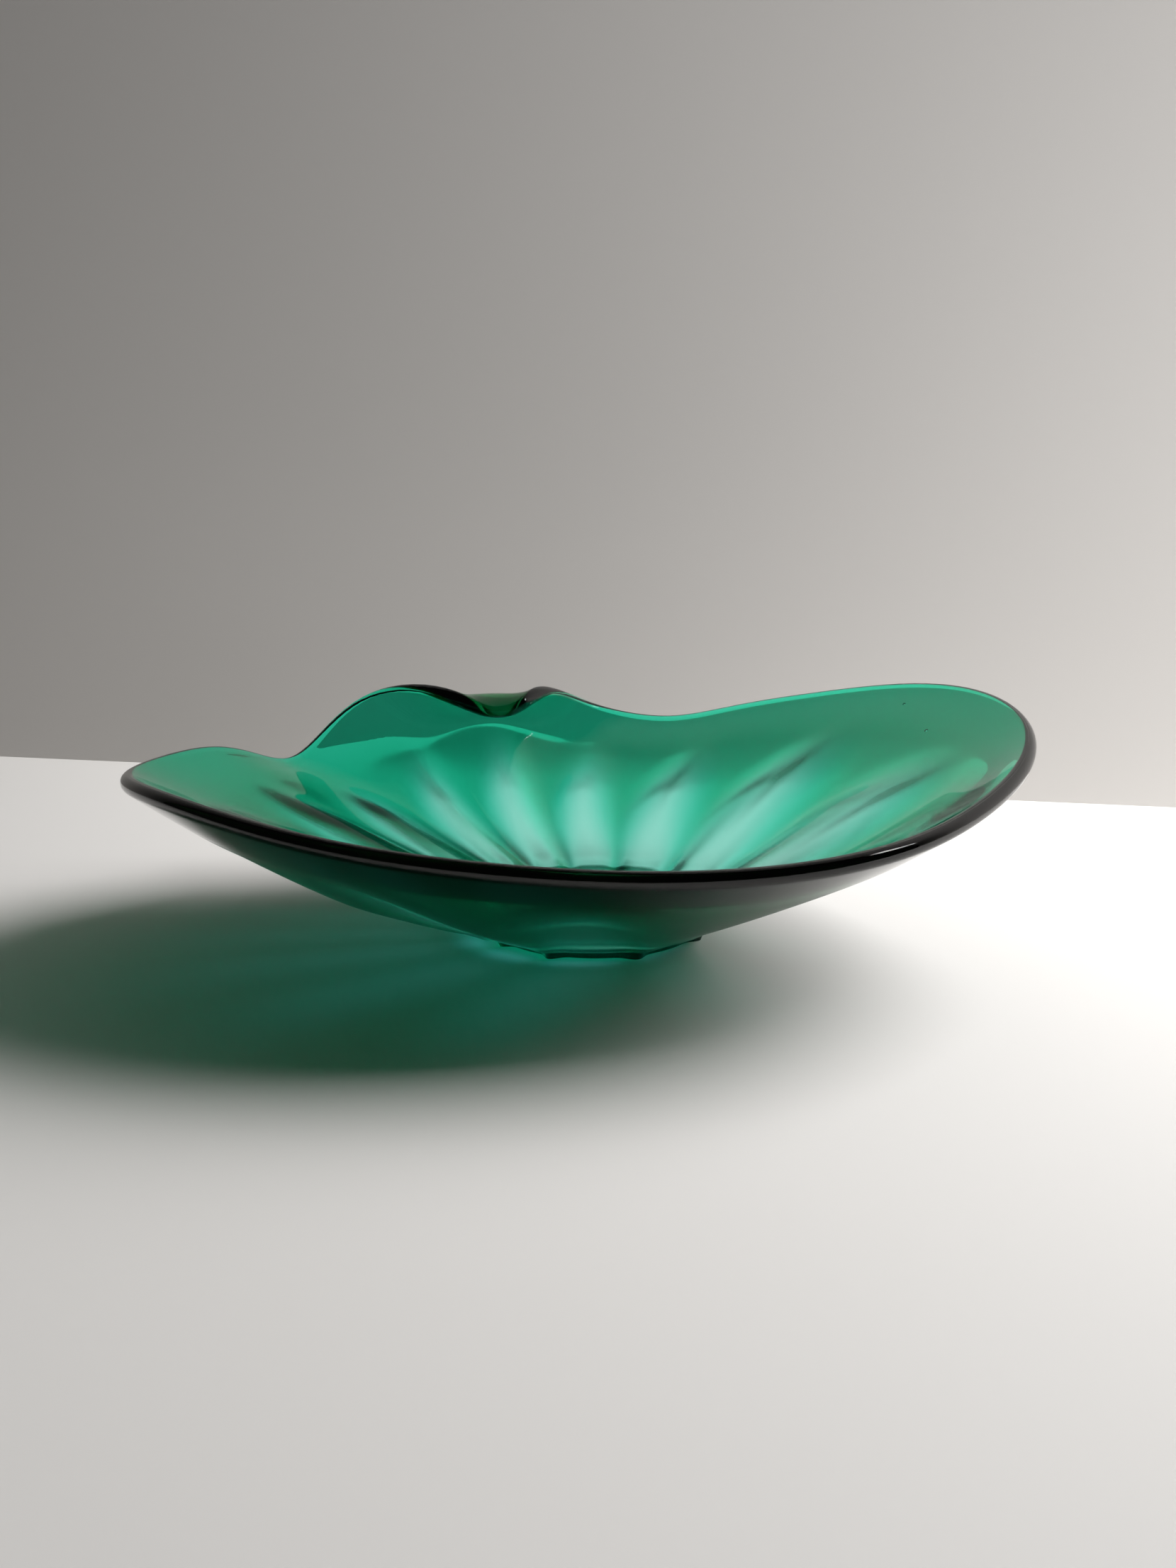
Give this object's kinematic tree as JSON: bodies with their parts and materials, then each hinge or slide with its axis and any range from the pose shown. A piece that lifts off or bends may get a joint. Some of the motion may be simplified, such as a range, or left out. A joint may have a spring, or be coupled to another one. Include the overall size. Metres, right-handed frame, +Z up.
{
  "type": "art glass bowl",
  "caption": "Free-form emerald art glass bowl with a smooth inside, a fluted outside, a waved rim and one folded-in lip.",
  "frame": {"origin": "middle of the ground base, on the surface that the bowl stands on", "axes": "+X towards the tall lobe, along the bowl's length; +Y towards the folded lip; +Z up"},
  "size_m": [0.2751, 0.2329, 0.0704],
  "materials": {
    "emerald_glass": "fire polished",
    "clear_glass": "fire polished"
  },
  "bodies": {
    "root": {"emerald_outer_casing": "emerald_glass", "crystal_inner_gather": "clear_glass"}
  },
  "joints": []
}
